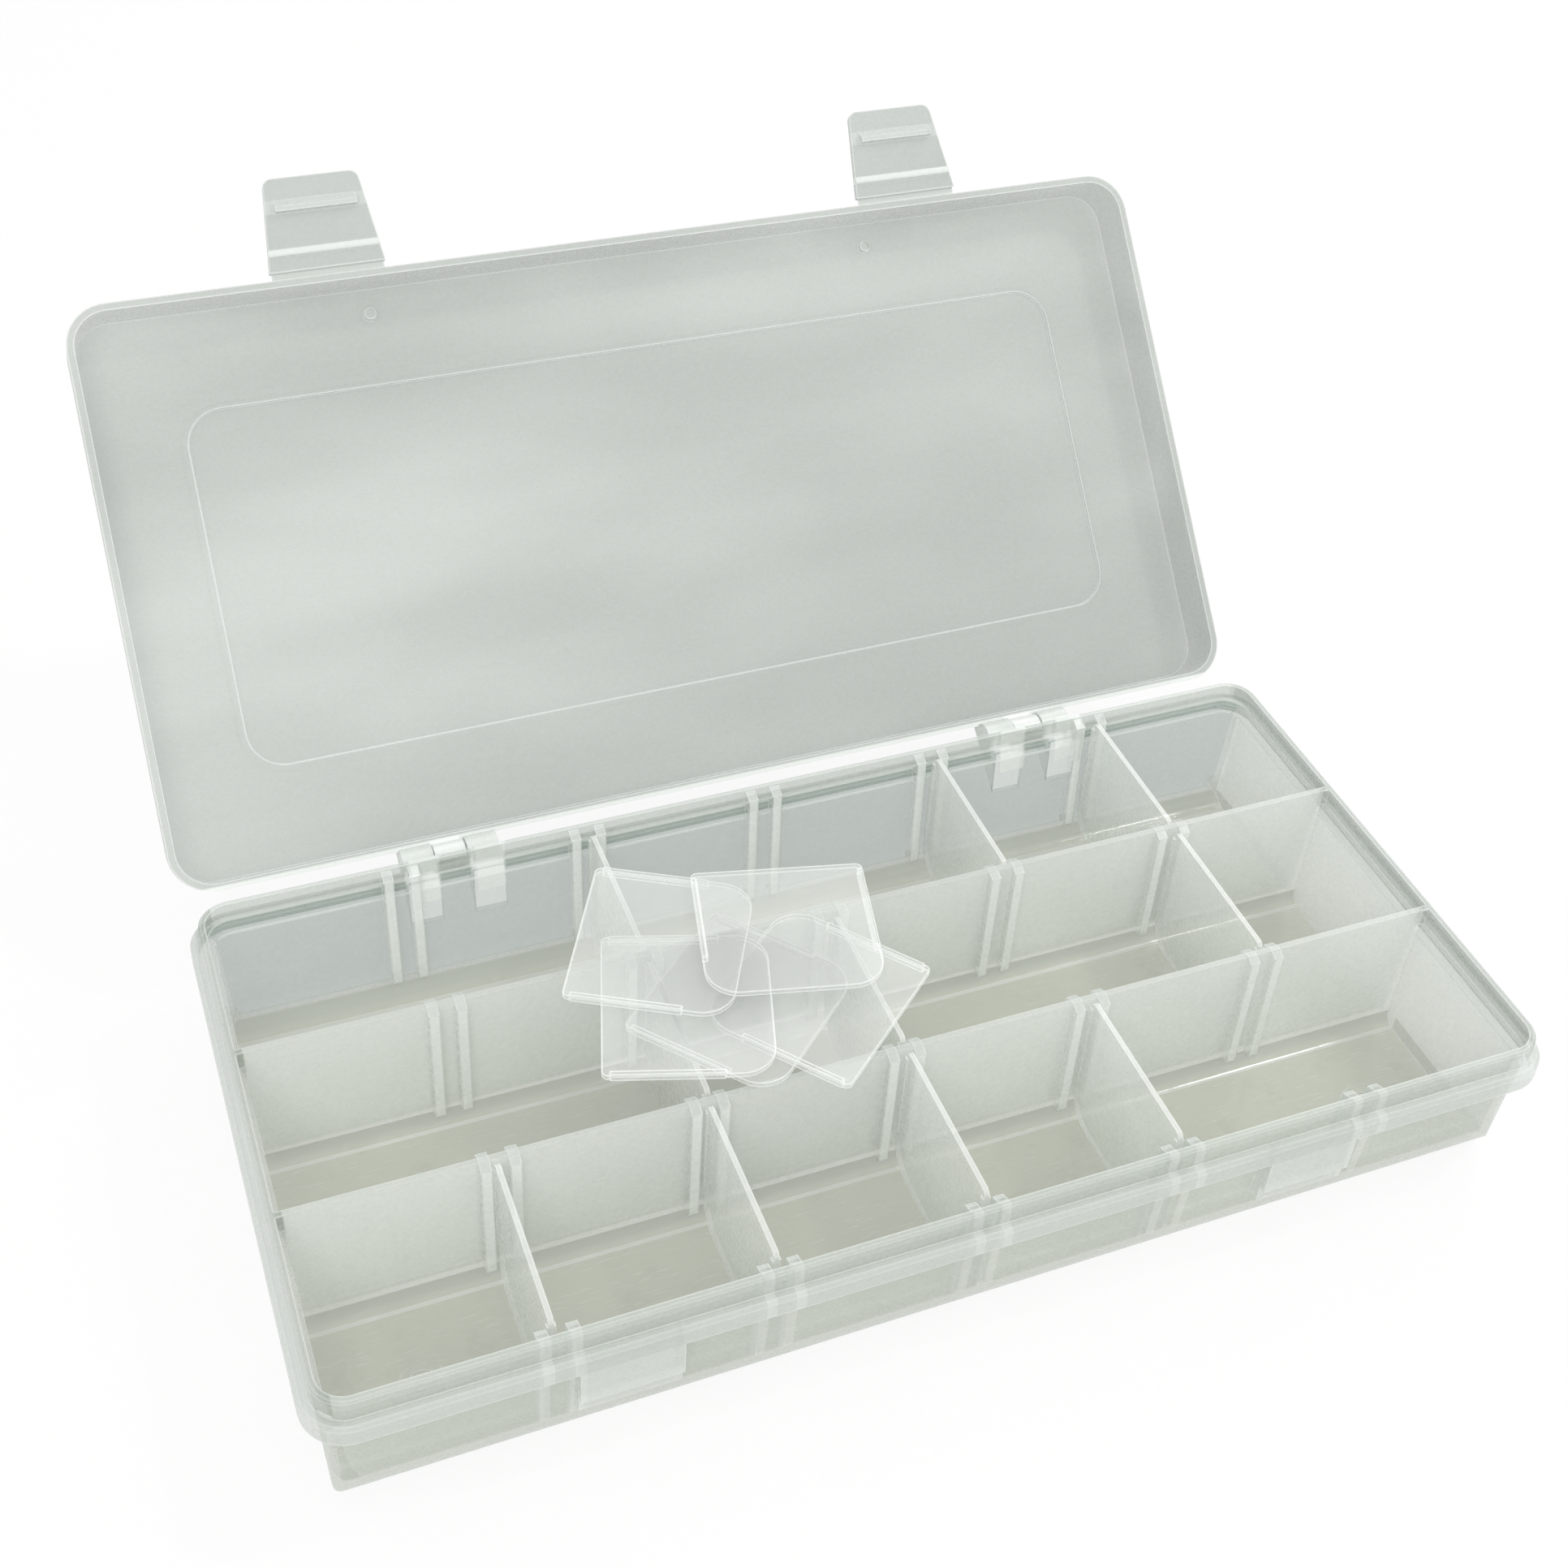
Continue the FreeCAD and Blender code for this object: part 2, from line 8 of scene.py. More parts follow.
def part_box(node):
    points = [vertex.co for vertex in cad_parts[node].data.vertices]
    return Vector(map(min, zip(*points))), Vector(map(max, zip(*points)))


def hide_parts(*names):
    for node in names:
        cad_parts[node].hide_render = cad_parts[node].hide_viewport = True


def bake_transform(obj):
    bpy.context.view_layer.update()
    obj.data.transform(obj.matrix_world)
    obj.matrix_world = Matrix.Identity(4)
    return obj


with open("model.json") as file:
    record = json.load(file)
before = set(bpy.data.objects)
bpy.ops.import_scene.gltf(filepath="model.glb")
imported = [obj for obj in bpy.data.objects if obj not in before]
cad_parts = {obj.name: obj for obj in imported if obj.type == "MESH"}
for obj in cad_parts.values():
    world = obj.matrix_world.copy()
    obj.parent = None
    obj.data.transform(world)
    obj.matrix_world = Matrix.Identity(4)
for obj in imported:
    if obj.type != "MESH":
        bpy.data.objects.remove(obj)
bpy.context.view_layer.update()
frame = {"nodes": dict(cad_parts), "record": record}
nodes = frame["nodes"]

# Camera at the photograph's viewing angle
AZIMUTH = math.radians(24.103)
ELEVATION = math.radians(38.343)
ROLL = math.radians(4.286)
CAMERA_AT = Vector((-0.12626, -0.24330, 0.32524))
LENS = 49.45
SENSOR = 36
SHIFT_X = -0.01254
SHIFT_Y = -0.08929

# Lights: place, the point they shine at, size and power
KEY_LIGHT = ((-0.45, -0.75, 0.9), (0, 0.03, 0.03), 0.6, 4.0)
SPARK_LIGHT = ((0.62, -0.1, 1.05), (0.05, 0, 0.02), 0.11, 2.2)
RIM_LIGHT = ((0.7, 0.6, 0.7), (0, 0.03, 0.03), 0.5, 2.5)
SKY_LEVEL = 0.8
SKY_SEEN = 1.0

# Ground: half side, small gap under the part, colour, and how white it looks when seen
GROUND_REACH = 3.0
GROUND_GAP = 0.0002
GROUND_COLOUR = (0.88, 0.88, 0.87, 1)
GROUND_GLOW = 0.85

# Tones of the plastic: dense edges, thin clear faces, and a painted shade that darkens the tops
# that catch the light
WHITE = (0.80, 0.83, 0.80)
CLEAR = (0.96, 0.99, 0.96)
TOP_SHADE_TONE = (0.66, 0.70, 0.66)

# Surface of the plastic: whiter edges, fine grain, scuffs and long clouds
EDGE_R = 0.0006
EDGE_TURN = (0.99, 0.84)
EDGE_HAZE = 0.8
GRAIN_SCALE = 900.0
GRAIN_BUMP = 0.06
GRAIN_DEPTH = 0.0002
ROUGH_RANGE = (0.22, 0.34)
SCUFF_HAZE = 0.05
CLOUD_TURN = (0.9, 0.0, 0.6)
CLOUD_ALONG = 6.0
CLOUD_ACROSS = 17.0
INDEX = 1.49

# Tone and haze of the pieces and of the tray's zones
TRAY = ((0.60, 0.64, 0.59), 0.40)
# Painted shadow: back wall toned darker for the lid's shadow seen through it
BACK_WALL_SHADOW = ((0.39, 0.47, 0.42), 0.40)
BODY = ((0.61, 0.65, 0.59), 0.54)
SKIRT = ((0.66, 0.70, 0.66), 0.50)
KEEPERS = ((0.76, 0.80, 0.76), 0.50)
LIP = ((0.64, 0.69, 0.64), 0.39)
FAR_LIP = ((0.40, 0.45, 0.40), 0.48)
RIB_THROUGH = (CLEAR, 0.66)
# Painted light: partition faces kept near white and clear, standing in for light that reaches into
# the cells
LIT_PARTITION = (CLEAR, 0.52)
# Painted shade: darker tone and haze for the partitions' tops, which catch the light from above
PARTITION_TOP_SHADE = (TOP_SHADE_TONE, 0.45)
# Painted shade: darker band on the round feet, in the crease between floor and partitions
FOOT_SHADE = ((0.38, 0.42, 0.34), 0.5)
# Painted highlight: a bright line where a round foot starts
FOOT_PAINTED_GLEAM = (WHITE, 0.75)
RIB = (CLEAR, 0.9)
# Painted shade: darker tone for the ribs' tops
RIB_TOP_SHADE = (TOP_SHADE_TONE, 0.6)
BAND = (WHITE, 0.75)
# Ears' sides and feet made nearly clear, so that their shade doesn't show
EAR_FEET = (WHITE, 0.12)
# Painted light: ears and the wall in front of them whitened, as they lie in shade between the lid
# and the back wall
LIT_EARS = ((0.84, 0.88, 0.84), 0.72)
TRAY_EDGE = (WHITE, 0.72)
LID = ((0.485, 0.525, 0.485), 0.49)
LID_CLOUD = 0.11
# Lid edges: whiter denser plastic, raised further as a painted highlight for the glint along the
# panel's edge
LID_EDGE_AND_GLINT = ((0.90, 0.93, 0.90), 0.85)
KNUCKLE = (CLEAR, 0.9)
LATCH = ((0.48, 0.52, 0.49), 0.57)
HOOK = (WHITE, 0.75)
BEAD = (WHITE, 0.85)
DIVIDER = (CLEAR, 0.40)
SPARE = ((0.97, 1.0, 0.97), 0.18)
SPARE_EDGE = (CLEAR, 0.92)
WEB = ((0.62, 0.66, 0.62), 0.6)

# Floor of the cells: clean, scratched and smudged tones
FLOOR_TONE = (0.47, 0.50, 0.38)
SCRATCH_TONE = (0.62, 0.66, 0.58)
SMUDGE_TONE = (0.36, 0.39, 0.28)
FLOOR_HAZE = 0.5
FLOOR_GLOSS = 0.16
SMUDGE_SCALE = 75.0

# Floor and its round feet, with the heights of their painted shade and painted highlight line
FLOOR_TOP = 0.0046
FLOOR_FADE = 0.0006
FOOT_LINE = 0.00164
FOOT_FADE = 0.0012
GLEAM_HALF = 0.00012

# Long partitions, end walls and ribs
PARTITION_REACH = 0.0215
PARTITION_END = 0.1103
PARTITION_FADE = 0.0005
END_INSIDE_X = 0.1097
END_HALF = 0.0009
WALL_INSIDE_Y = 0.0528
SLOT_PITCH = 0.0371
LAST_SLOT = 2.5
RIB_FROM_SLOT = 0.00255
RIB_HALF = 0.00105

# Lip, its ledges, hanging skirt and the body below
BAND_HIGH = 0.0285
BAND_LOW = 0.0258
BAND_HALF = 0.0004
LIP_INSIDE_X = 0.1116
LIP_INSIDE_Y = 0.0543
SKIRT_BOTTOM = 0.0241
SKIRT_TOP = 0.0284
SKIRT_INSIDE_X = 0.1130
SKIRT_INSIDE_Y = 0.0557
BODY_INSIDE_X = 0.1106
BODY_INSIDE_Y = 0.0534
BOTTOM_ROUND = 0.0085

# Keepers on the front, ears and clips at the hinges
LATCH_X = 0.063
KEEPER_HALF = 0.0088
KEEPER_BOTTOM = 0.0123
HINGE_X = 0.063
EAR_ROOT = 0.0545
EAR_FRONT = 0.0585
EAR_FROM_HINGE = 0.00645
EAR_HALF = 0.0034
EAR_BOTTOM = 0.0225
KNUCKLE_R = 0.0048

# Latch folds: web reach on both sides of the fold line, its thickness, then bead and hook
WEB_LID_SIDE = 0.00075
WEB_LATCH_SIDE = 0.00082
WEB_THICK = 0.00045
WEB_WAIST = 0.35
WEB_STEPS = 12
BEAD_AT = 0.0046
BEAD_HALF = 0.0008
HOOK_AT = 0.0138
HOOK_HALF = 0.0016


def make_camera():
    ahead = Vector((
        math.sin(AZIMUTH) * math.cos(ELEVATION),
        math.cos(AZIMUTH) * math.cos(ELEVATION),
        -math.sin(ELEVATION),
    ))
    level = Vector((math.cos(AZIMUTH), -math.sin(AZIMUTH), 0))
    above = level.cross(ahead)
    right = level * math.cos(ROLL) + above * math.sin(ROLL)
    up = above * math.cos(ROLL) - level * math.sin(ROLL)
    data = bpy.data.cameras.new("camera")
    data.sensor_width = SENSOR
    data.sensor_fit = "HORIZONTAL"
    data.lens = LENS
    data.shift_x = SHIFT_X
    data.shift_y = SHIFT_Y
    data.clip_start = 0.01
    camera = bpy.data.objects.new("camera", data)
    turn = Matrix((right, up, -ahead)).transposed()
    camera.matrix_world = Matrix.Translation(CAMERA_AT) @ turn.to_4x4()
    bpy.context.collection.objects.link(camera)
    bpy.context.scene.camera = camera


class Graph:
    """Short helper for building a material's node tree."""

    def __init__(self, name):
        self.material = bpy.data.materials.new(name)
        self.material.use_nodes = True
        self.tree = self.material.node_tree
        self.tree.nodes.clear()
        self.out = self.add("ShaderNodeOutputMaterial")

    def add(self, kind, **inputs):
        node = self.tree.nodes.new(kind)
        for key, value in inputs.items():
            node.inputs[key.replace("_", " ")].default_value = value
        return node

    def link(self, a, b):
        self.tree.links.new(a, b)

    def fill(self, socket, value):
        """Set a socket to a constant, or link it to another node's output."""
        if isinstance(value, (int, float, tuple)):
            socket.default_value = value
        else:
            self.link(value, socket)

    def math(self, operation, a, b=0.0):
        node = self.tree.nodes.new("ShaderNodeMath")
        node.operation = operation
        self.fill(node.inputs[0], a)
        self.fill(node.inputs[1], b)
        return node.outputs[0]

    def both(self, first, *others):
        """Product of masks: 1 where all of them are 1."""
        for mask in others:
            first = self.math("MULTIPLY", first, mask)
        return first

    def either(self, a, b):
        return self.math("MAXIMUM", a, b)

    def over(self, value, limit):
        return self.math("GREATER_THAN", value, limit)

    def under(self, value, limit):
        return self.math("LESS_THAN", value, limit)

    def rest(self, mask):
        return self.math("SUBTRACT", 1.0, mask)

    def apart(self, a, b):
        """Distance between two values."""
        return self.math("ABSOLUTE", self.math("SUBTRACT", a, b))

    def remap(self, value, low, high, to_low=0.0, to_high=1.0):
        node = self.tree.nodes.new("ShaderNodeMapRange")
        node.interpolation_type = "SMOOTHSTEP"
        keys = ("From Min", "From Max", "To Min", "To Max")
        for key, number in zip(keys, (low, high, to_low, to_high)):
            node.inputs[key].default_value = number
        self.link(value, node.inputs["Value"])
        return node.outputs[0]

    def near(self, value, middle, half):
        """1 where a value is close to its middle, 0 beyond half on either side."""
        return self.remap(self.apart(value, middle), half, half * 0.7)

    def blend(self, factor, a, b):
        node = self.tree.nodes.new("ShaderNodeMix")
        node.data_type = "RGBA"
        self.fill(node.inputs["Factor"], factor)
        for socket, value in ((node.inputs[6], a), (node.inputs[7], b)):
            self.fill(socket, (*value, 1) if isinstance(value, tuple) else value)
        return node.outputs[2]

    def dot(self, a, b):
        node = self.tree.nodes.new("ShaderNodeVectorMath")
        node.operation = "DOT_PRODUCT"
        self.fill(node.inputs[0], a)
        self.fill(node.inputs[1], b)
        return node.outputs["Value"]

    def split(self, place):
        """The three coordinates of a place."""
        node = self.tree.nodes.new("ShaderNodeSeparateXYZ")
        self.link(place, node.inputs[0])
        return node.outputs["X"], node.outputs["Y"], node.outputs["Z"]

    def noise(self, place, scale, detail=2.0, rough=0.5):
        node = self.add("ShaderNodeTexNoise", Scale=scale, Detail=detail, Roughness=rough)
        self.link(place, node.inputs["Vector"])
        return node.outputs["Fac"]

    def streaks(self, place, turn, along, across):
        """Long soft marks in one direction, 0 to 1."""
        mapping = self.add("ShaderNodeMapping", Rotation=turn, Scale=(along, across, across))
        self.link(place, mapping.inputs["Vector"])
        return self.noise(mapping.outputs[0], 1.0, 3.0, 0.55)


def edge_mask(g):
    """1 on sharp edges of the solid, 0 on its open faces."""
    bevel = g.add("ShaderNodeBevel", Radius=EDGE_R)
    bevel.samples = 4
    here = g.add("ShaderNodeNewGeometry")
    turned = g.dot(bevel.outputs["Normal"], here.outputs["Normal"])
    return g.remap(turned, *EDGE_TURN)


def scuffs(g, place):
    """Fine crossing scratches from use, 0 to 1."""
    one = g.remap(g.streaks(place, (0, 0, 0.5), 220, 2600), 0.60, 0.70)
    two = g.remap(g.streaks(place, (0, 0, -0.9), 180, 2300), 0.61, 0.70)
    return g.either(one, two)


class Plastic(Graph):
    """Frosted translucent moulding: hazy faces, whiter and denser edges."""

    def __init__(self, name, tone, haze, cloud=0.06):
        super().__init__(name)
        self.place = self.add("ShaderNodeTexCoord").outputs["Object"]
        self.edges = edge_mask(self)
        self.marks = scuffs(self, self.place)
        self.grain = self.noise(self.place, GRAIN_SCALE, 2.0, 0.6)
        self.rough = self.remap(self.grain, 0.3, 0.7, *ROUGH_RANGE)
        drift = self.streaks(self.place, CLOUD_TURN, CLOUD_ALONG, CLOUD_ACROSS)
        tint = self.tree.nodes.new("ShaderNodeVectorMath")
        tint.operation = "SCALE"
        tint.inputs[0].default_value = tone
        self.link(self.remap(drift, 0.3, 0.7, 1 - cloud, 1 + cloud), tint.inputs["Scale"])
        self.colour = tint.outputs[0]
        alpha = self.math("ADD", self.both(self.marks, SCUFF_HAZE), haze)
        self.alpha = self.both(alpha, self.remap(drift, 0.3, 0.7, 1 + cloud, 1 - cloud))

    def cover(self, mask, tone, haze):
        """Change colour and haze where the mask is 1."""
        self.colour = self.blend(mask, self.colour, tone)
        kept = self.both(self.alpha, self.rest(mask))
        self.alpha = self.math("ADD", kept, self.both(mask, haze))

    def soften(self, mask):
        """Take the whiter edges away where the mask is 1."""
        self.edges = self.both(self.edges, self.rest(mask))

    def done(self, edge_tone, edge_haze=EDGE_HAZE):
        """Whiten the edges and close the material."""
        self.cover(self.edges, edge_tone, edge_haze)
        shader = self.add("ShaderNodeBsdfPrincipled", IOR=INDEX)
        self.link(self.colour, shader.inputs["Base Color"])
        self.link(self.rough, shader.inputs["Roughness"])
        self.link(self.alpha, shader.inputs["Alpha"])
        bump = self.add("ShaderNodeBump", Strength=GRAIN_BUMP, Distance=GRAIN_DEPTH)
        self.link(self.grain, bump.inputs["Height"])
        self.link(bump.outputs[0], shader.inputs["Normal"])
        self.link(shader.outputs[0], self.out.inputs["Surface"])
        return self.material


class Spot:
    """Where a point of the tray is, with left and right taken as one, and how it faces."""

    def __init__(self, g):
        across, self.deep, self.z = g.split(g.place)
        self.x = g.math("ABSOLUTE", across)
        self.y = g.math("ABSOLUTE", self.deep)
        normal = g.add("ShaderNodeNewGeometry").outputs["Normal"]
        self.facing = g.dot(normal, (0, 0, 1))
        self.upward = g.remap(self.facing, 0.05, 0.25)
        self.below = g.under(self.z, SKIRT_BOTTOM)
        ends = g.over(self.x, END_INSIDE_X)
        self.outer = g.either(ends, g.over(self.y, 0.98 * WALL_INSIDE_Y))
        self.back = g.over(self.deep, 0.97 * WALL_INSIDE_Y)


def floor_zones(g, at):
    """Floor of the cells, the painted shade on its round feet, and the line where a foot starts,
    which gets a painted highlight.
    """
    floor = g.both(g.remap(at.z, FLOOR_TOP, FLOOR_TOP - FLOOR_FADE), at.upward)
    shaded_foot = g.both(g.remap(at.z, FOOT_LINE, FOOT_LINE + FOOT_FADE), floor)
    painted_gleam = g.both(g.near(at.z, FOOT_LINE, GLEAM_HALF), floor)
    return floor, shaded_foot, painted_gleam


def partitions(g, at):
    """Long partitions and the inner faces of the end walls."""
    short = g.remap(at.x, PARTITION_END, PARTITION_END - PARTITION_FADE)
    middle = g.both(g.remap(at.y, PARTITION_REACH, PARTITION_REACH - PARTITION_FADE), short)
    ends = g.both(g.near(at.x, END_INSIDE_X, END_HALF), g.under(at.y, 0.95 * WALL_INSIDE_Y))
    ends = g.both(ends, g.over(at.z, FLOOR_TOP), g.under(at.z, BAND_LOW))
    return g.either(middle, ends)


def rib_zones(g, at, floor):
    """Ribs beside the slots, and the front wall where ribs show through it."""
    from_slot = g.math("PINGPONG", at.x, SLOT_PITCH / 2)
    columns = g.near(from_slot, RIB_FROM_SLOT, RIB_HALF)
    columns = g.both(columns, g.under(at.x, LAST_SLOT * SLOT_PITCH))
    through = g.both(columns, g.under(at.deep, -BODY_INSIDE_Y), g.over(at.z, BOTTOM_ROUND))
    ribs = g.both(columns, g.under(at.y, WALL_INSIDE_Y), g.rest(floor), g.over(at.facing, -0.1))
    return ribs, through


def rim_zones(g, at):
    """Lip, its two short ends, the ledges inside it and the skirt that hangs from it."""
    high = g.over(at.z, SKIRT_TOP)
    lip = g.both(at.outer, high)
    far_lip = g.both(g.over(at.x, END_INSIDE_X), high)
    bands = g.either(g.near(at.z, BAND_HIGH, BAND_HALF), g.near(at.z, BAND_LOW, BAND_HALF))
    within = g.both(g.under(at.x, LIP_INSIDE_X), g.under(at.y, LIP_INSIDE_Y))
    bands = g.both(bands, within, at.outer)
    hung = g.either(g.over(at.x, SKIRT_INSIDE_X), g.over(at.y, SKIRT_INSIDE_Y))
    skirt = g.both(hung, g.under(at.z, SKIRT_TOP), g.rest(at.below))
    return lip, far_lip, bands, skirt


def body_zones(g, at):
    """Outside of the ends and of the front below the skirt, and the keepers on it."""
    drop = g.either(g.math("SUBTRACT", BOTTOM_ROUND, at.z), 0.0)
    out_x = g.over(g.math("ADD", at.x, drop), BODY_INSIDE_X)
    out_y = g.over(g.math("SUBTRACT", drop, at.deep), BODY_INSIDE_Y)
    body = g.both(g.either(out_x, out_y), at.below)
    keepers = g.under(g.apart(at.x, LATCH_X), KEEPER_HALF)
    keepers = g.both(keepers, g.over(at.z, KEEPER_BOTTOM))
    keepers = g.both(keepers, g.under(at.deep, -0.95 * WALL_INSIDE_Y), at.below)
    return body, keepers


def ear_zones(g, at):
    """Hinge ears with the wall in front of them, which get painted light, and the clearer sides
    and feet of the ears, made nearly clear so that their shade doesn't show.
    """
    ears = g.over(at.deep, EAR_FRONT)
    low = g.both(ears, g.under(at.z, EAR_BOTTOM))
    from_hinge = g.apart(at.x, HINGE_X)
    # Back wall in front of the ears, which gets painted light
    thick = g.both(g.near(from_hinge, EAR_FROM_HINGE, EAR_HALF), at.back, g.over(at.z, EAR_BOTTOM))
    sides = g.under(g.apart(from_hinge, EAR_FROM_HINGE), EAR_HALF)
    sides = g.both(sides, g.over(at.deep, EAR_ROOT), g.under(at.deep, EAR_FRONT))
    feet = g.either(sides, low)
    ears = g.either(g.math("SUBTRACT", ears, low), thick)
    return ears, feet


def tray_plastic():
    g = Plastic("tray_plastic", *TRAY)
    at = Spot(g)
    floor, shaded_foot, painted_gleam = floor_zones(g, at)
    ribs, through = rib_zones(g, at, floor)
    lip, far_lip, bands, skirt = rim_zones(g, at)
    body, keepers = body_zones(g, at)
    ears, feet = ear_zones(g, at)
    middle = partitions(g, at)
    # Upward faces above the skirt's bottom, where the partitions and ribs get a painted shade
    shaded_tops = g.both(g.over(at.z, SKIRT_BOTTOM), at.upward)
    # Painted shadow on the back wall
    g.cover(at.back, *BACK_WALL_SHADOW)
    g.cover(body, *BODY)
    g.cover(skirt, *SKIRT)
    g.cover(keepers, *KEEPERS)
    g.cover(lip, *LIP)
    g.cover(far_lip, *FAR_LIP)
    g.cover(g.both(through, 0.3), *RIB_THROUGH)
    # Painted light on the partitions and the end walls' inner faces, lighter than the tray's own
    # tone
    g.cover(middle, *LIT_PARTITION)
    # Painted shade on the partitions' tops, with part of their whiter edges taken away
    g.cover(g.both(middle, shaded_tops), *PARTITION_TOP_SHADE)
    g.soften(g.both(middle, shaded_tops, 0.55))
    scratched = g.blend(g.both(g.marks, 0.35), FLOOR_TONE, SCRATCH_TONE)
    smudge = g.remap(g.noise(g.place, SMUDGE_SCALE, 4.0, 0.7), 0.53, 0.68)
    g.cover(floor, g.blend(g.both(smudge, 0.4), scratched, SMUDGE_TONE), FLOOR_HAZE)
    # Painted shade on the round feet of the cells
    g.cover(shaded_foot, *FOOT_SHADE)
    # Painted highlight along the line where a foot starts
    g.cover(g.both(painted_gleam, 0.6), *FOOT_PAINTED_GLEAM)
    g.cover(g.both(ribs, 0.9), *RIB)
    # Painted shade on the ribs' tops
    g.cover(g.both(ribs, shaded_tops), *RIB_TOP_SHADE)
    g.cover(g.both(bands, 0.8), *BAND)
    # Ears' feet nearly clear so their shade doesn't show, then painted light on the ears
    g.cover(feet, *EAR_FEET)
    g.cover(ears, *LIT_EARS)
    g.soften(feet)
    g.rough = g.math("SUBTRACT", g.rough, g.both(floor, FLOOR_GLOSS))
    return g.done(*TRAY_EDGE)


def joint_at(name):
    """Place of a joint in the record."""
    for joint in frame["record"]["behaviour"]["joints"]:
        if joint["name"] == name:
            return Vector(joint["pos_m"])


def knuckles(g):
    """1 on the lid's two clips around the hinge line."""
    at = joint_at("lid_hinge")
    across, deep, height = g.split(g.place)
    dy = g.math("SUBTRACT", deep, at.y)
    dz = g.math("SUBTRACT", height, at.z)
    far = g.math("SQRT", g.math("ADD", g.both(dy, dy), g.both(dz, dz)))
    return g.remap(far, KNUCKLE_R, KNUCKLE_R * 0.9)


def lid_plastic():
    g = Plastic("lid_plastic", *LID, cloud=LID_CLOUD)
    g.cover(g.both(knuckles(g), 0.9), *KNUCKLE)
    # Whiter lid edges, partly a painted highlight
    return g.done(*LID_EDGE_AND_GLINT)


def fold_line(side):
    """Fold point of a latch, and the direction from it along the latch."""
    name = "latch_" + side
    at = joint_at(name + "_fold")
    low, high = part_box(name)
    along = (Vector(low) + Vector(high)) / 2 - at
    along.x = 0
    return at, along.normalized()


def latch_plastic(side):
    g = Plastic("latch_plastic_" + side, *LATCH)
    at, along = fold_line(side)
    reach = g.math("SUBTRACT", g.dot(g.place, tuple(along)), at.dot(along))
    g.cover(g.both(g.near(reach, HOOK_AT, HOOK_HALF), 0.4), *HOOK)
    g.cover(g.near(reach, BEAD_AT, BEAD_HALF), *BEAD)
    return g.done(WHITE)


def dress(node, material):
    mesh = nodes[node].data
    mesh.materials.clear()
    mesh.materials.append(material)


def make_web(side, material):
    """Thin strip between the lid's edge and a latch, across the latch's fold line."""
    node = "web_" + side
    at, along = fold_line(side)
    low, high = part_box(node)
    half = (high[0] - low[0]) / 2
    across = along.cross(Vector((1, 0, 0)))
    points = []
    for step in range(WEB_STEPS + 1):
        share = step / WEB_STEPS
        middle = at + along * ((WEB_LID_SIDE + WEB_LATCH_SIDE) * share - WEB_LID_SIDE)
        thick = WEB_THICK / 2 * (1 - WEB_WAIST * math.sin(math.pi * share))
        for x, out in ((-half, -1), (half, -1), (half, 1), (-half, 1)):
            points.append(middle + Vector((x, 0, 0)) + across * thick * out)
    faces = []
    for step in range(WEB_STEPS):
        a = step * 4
        for k in range(4):
            n = (k + 1) % 4
            faces.append((a + k, a + n, a + n + 4, a + k + 4))
    faces.append((3, 2, 1, 0))
    last = WEB_STEPS * 4
    faces.append((last, last + 1, last + 2, last + 3))
    mesh = bpy.data.meshes.new(node + "_strip")
    mesh.from_pydata(points, [], faces)
    mesh.validate()
    mesh.materials.append(material)
    piece = bpy.data.objects.new(node + "_strip", mesh)
    bpy.context.collection.objects.link(piece)
    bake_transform(piece)
    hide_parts(node)


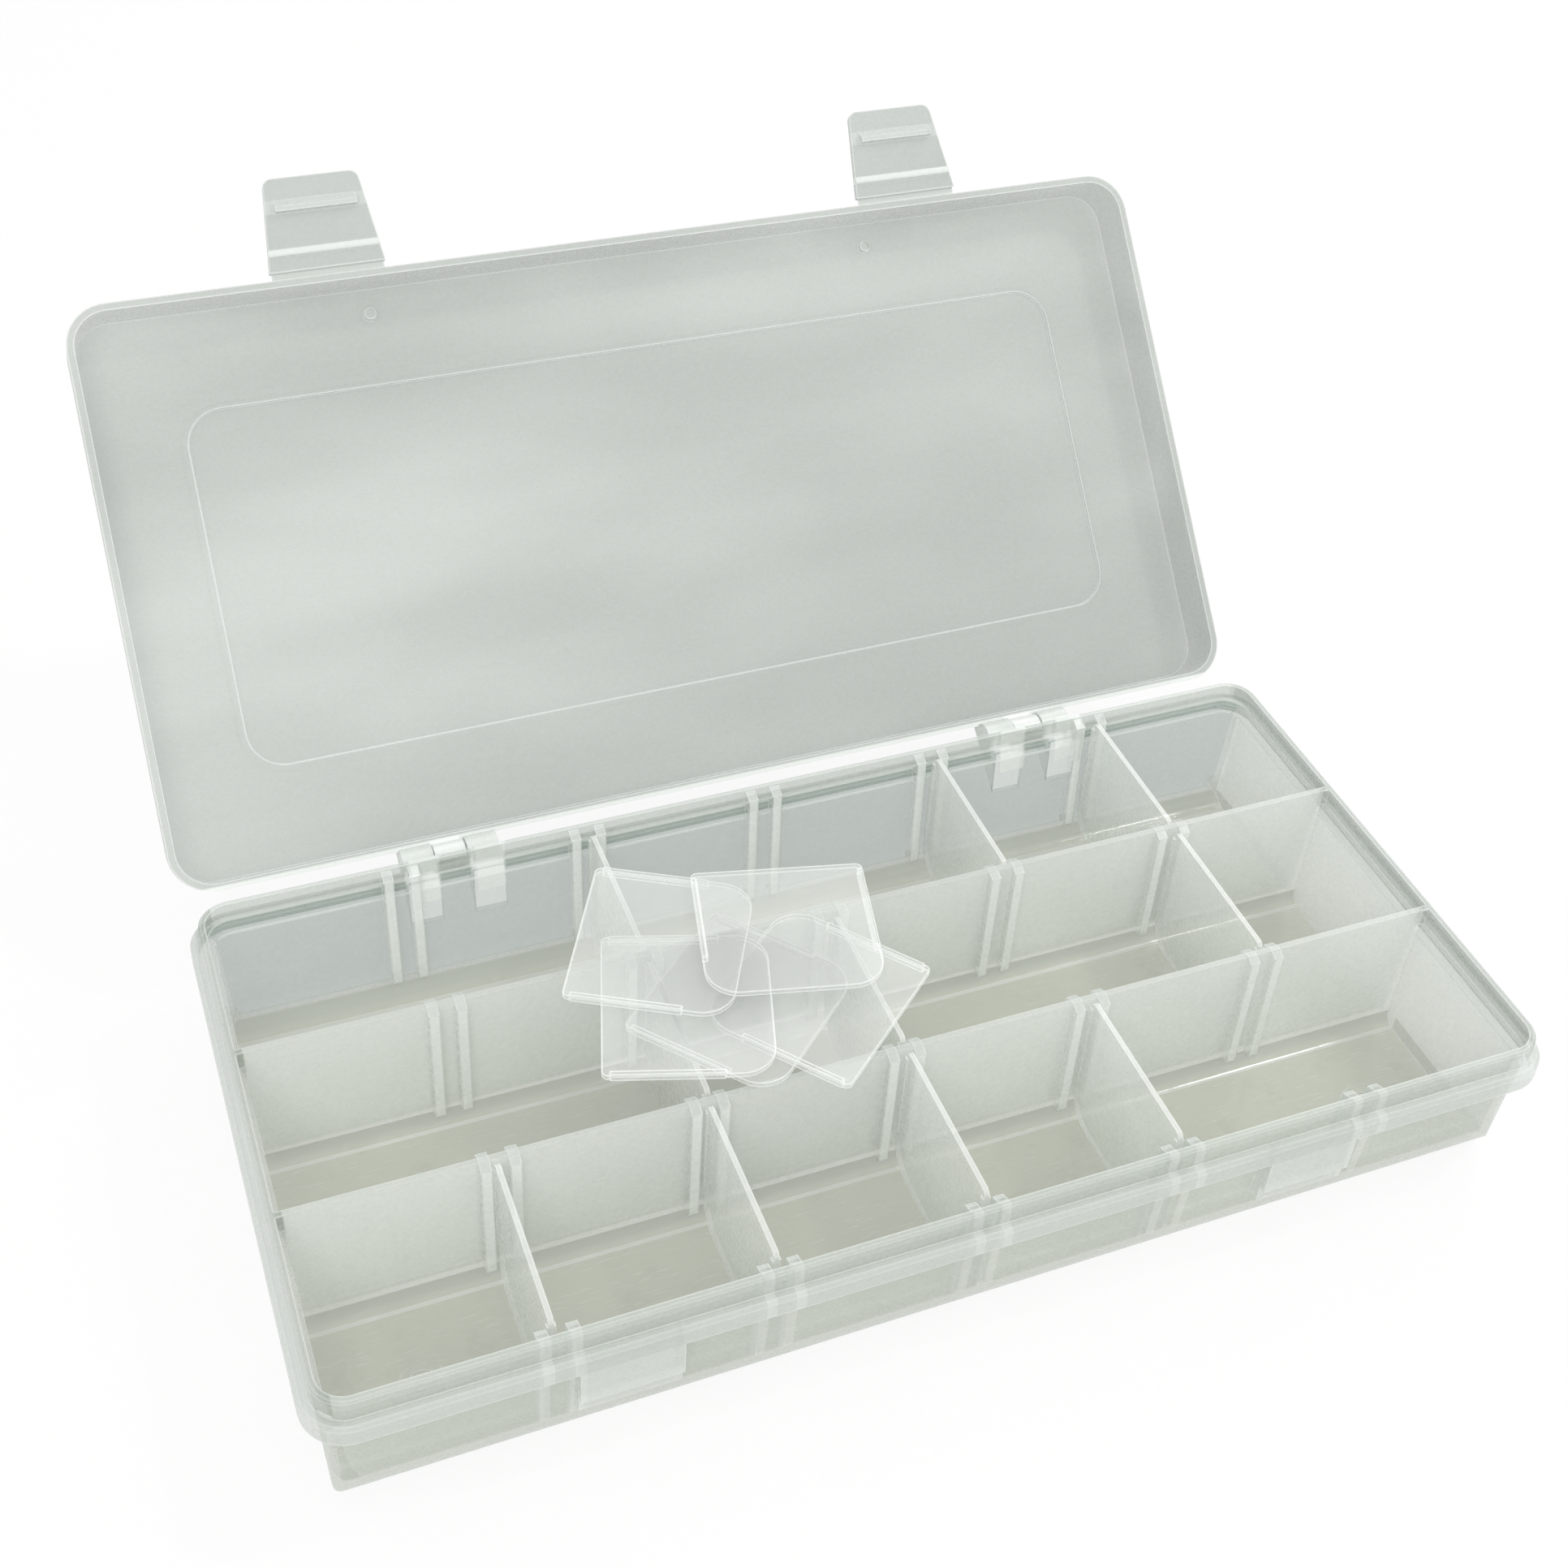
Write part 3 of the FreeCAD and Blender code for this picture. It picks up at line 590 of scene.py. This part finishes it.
def make_floor():
    reach = GROUND_REACH
    mesh = bpy.data.meshes.new("floor")
    corners = [(-reach, -reach, 0), (reach, -reach, 0), (reach, reach, 0), (-reach, reach, 0)]
    mesh.from_pydata(corners, [], [(0, 1, 2, 3)])
    floor = bpy.data.objects.new("floor", mesh)
    floor.location.z = -GROUND_GAP
    bpy.context.collection.objects.link(floor)
    g = Graph("floor")
    matte = g.add("ShaderNodeBsdfDiffuse", Color=GROUND_COLOUR)
    glow = g.add("ShaderNodeEmission", Color=(1, 1, 1, 1), Strength=1.0)
    rays = g.add("ShaderNodeLightPath")
    seen = g.either(rays.outputs["Is Camera Ray"], rays.outputs["Is Glossy Ray"])
    seen = g.either(seen, rays.outputs["Is Transmission Ray"])
    mix = g.tree.nodes.new("ShaderNodeMixShader")
    g.link(g.both(seen, GROUND_GLOW), mix.inputs[0])
    g.link(matte.outputs[0], mix.inputs[1])
    g.link(glow.outputs[0], mix.inputs[2])
    g.link(mix.outputs[0], g.out.inputs["Surface"])
    mesh.materials.append(g.material)


def make_world():
    world = bpy.data.worlds.new("studio")
    bpy.context.scene.world = world
    world.use_nodes = True
    tree = world.node_tree
    tree.nodes.clear()
    out = tree.nodes.new("ShaderNodeOutputWorld")
    sky = tree.nodes.new("ShaderNodeBackground")
    sky.inputs["Color"].default_value = (1, 1, 1, 1)
    rays = tree.nodes.new("ShaderNodeLightPath")
    level = tree.nodes.new("ShaderNodeMapRange")
    level.inputs["To Min"].default_value = SKY_LEVEL
    level.inputs["To Max"].default_value = SKY_SEEN
    tree.links.new(rays.outputs["Is Camera Ray"], level.inputs["Value"])
    tree.links.new(level.outputs[0], sky.inputs["Strength"])
    tree.links.new(sky.outputs[0], out.inputs["Surface"])


def make_light(name, place, target, size, power):
    data = bpy.data.lights.new(name, "AREA")
    data.shape = "DISK"
    data.size = size
    data.energy = power
    light = bpy.data.objects.new(name, data)
    light.location = place
    aim = Vector(target) - Vector(place)
    light.rotation_euler = aim.to_track_quat("-Z", "Y").to_euler()
    bpy.context.collection.objects.link(light)


def main():
    make_camera()
    make_world()
    make_floor()
    make_light("key", *KEY_LIGHT)
    make_light("spark", *SPARK_LIGHT)
    make_light("rim", *RIM_LIGHT)
    fitted = Plastic("divider_plastic", *DIVIDER).done(WHITE)
    spare = Plastic("spare_plastic", *SPARE).done(*SPARE_EDGE)
    web = Plastic("web_plastic", *WEB).done(WHITE)
    dress("tray", tray_plastic())
    dress("lid", lid_plastic())
    for side in ("left", "right"):
        dress("latch_" + side, latch_plastic(side))
        make_web(side, web)
    for name in nodes:
        if name.startswith("divider"):
            dress(name, spare if "spare" in name else fitted)
    bpy.context.scene.view_settings.view_transform = "Standard"


main()
